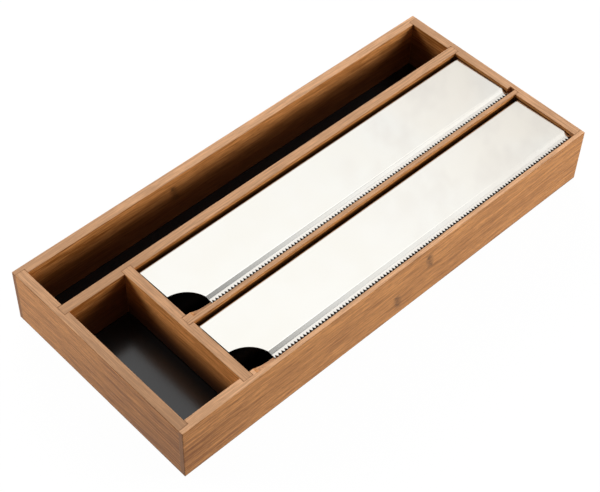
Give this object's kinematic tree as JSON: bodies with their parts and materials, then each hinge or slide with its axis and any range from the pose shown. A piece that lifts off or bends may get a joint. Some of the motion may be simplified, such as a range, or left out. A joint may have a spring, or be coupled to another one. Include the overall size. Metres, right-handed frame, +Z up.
{
  "type": "cling film dispenser",
  "caption": "Low bamboo drawer tray with film bays under hinged steel lids whose saw-toothed front edges cut the film, and open storage compartments beside them.",
  "frame": {"origin": "middle of the footprint, on the surface that the tray stands on", "axes": "+X along the film bays to the end away from the small compartment, +Y to the back compartment, +Z up"},
  "size_m": [0.4, 0.18, 0.05],
  "materials": {
    "bamboo": "oiled satin bamboo with fine long grain",
    "black_panel": "satin black laminate",
    "lid_steel": "fine satin stainless sheet",
    "rod_steel": "drawn stainless rod"
  },
  "bodies": {
    "tray": {"front_wall": "bamboo", "back_wall": "bamboo", "left_wall": "bamboo", "right_wall": "bamboo", "long_divider": "bamboo", "cross_divider": "bamboo", "middle_divider": "bamboo", "base_panel": "black_panel", "front_hinge_rod": "rod_steel", "rear_hinge_rod": "rod_steel"},
    "front_lid": {"front_lid": "lid_steel"},
    "rear_lid": {"rear_lid": "lid_steel"}
  },
  "joints": [
    {"name": "front_lid_hinge", "type": "hinge", "parent": "tray", "child": "front_lid", "pos_m": [0.028, -0.0315, 0.0445], "axis": [-1, 0, 0], "range_deg": [0, 100]},
    {"name": "rear_lid_hinge", "type": "hinge", "parent": "tray", "child": "rear_lid", "pos_m": [0.028, 0.0315, 0.0445], "axis": [-1, 0, 0], "range_deg": [0, 100]}
  ]
}
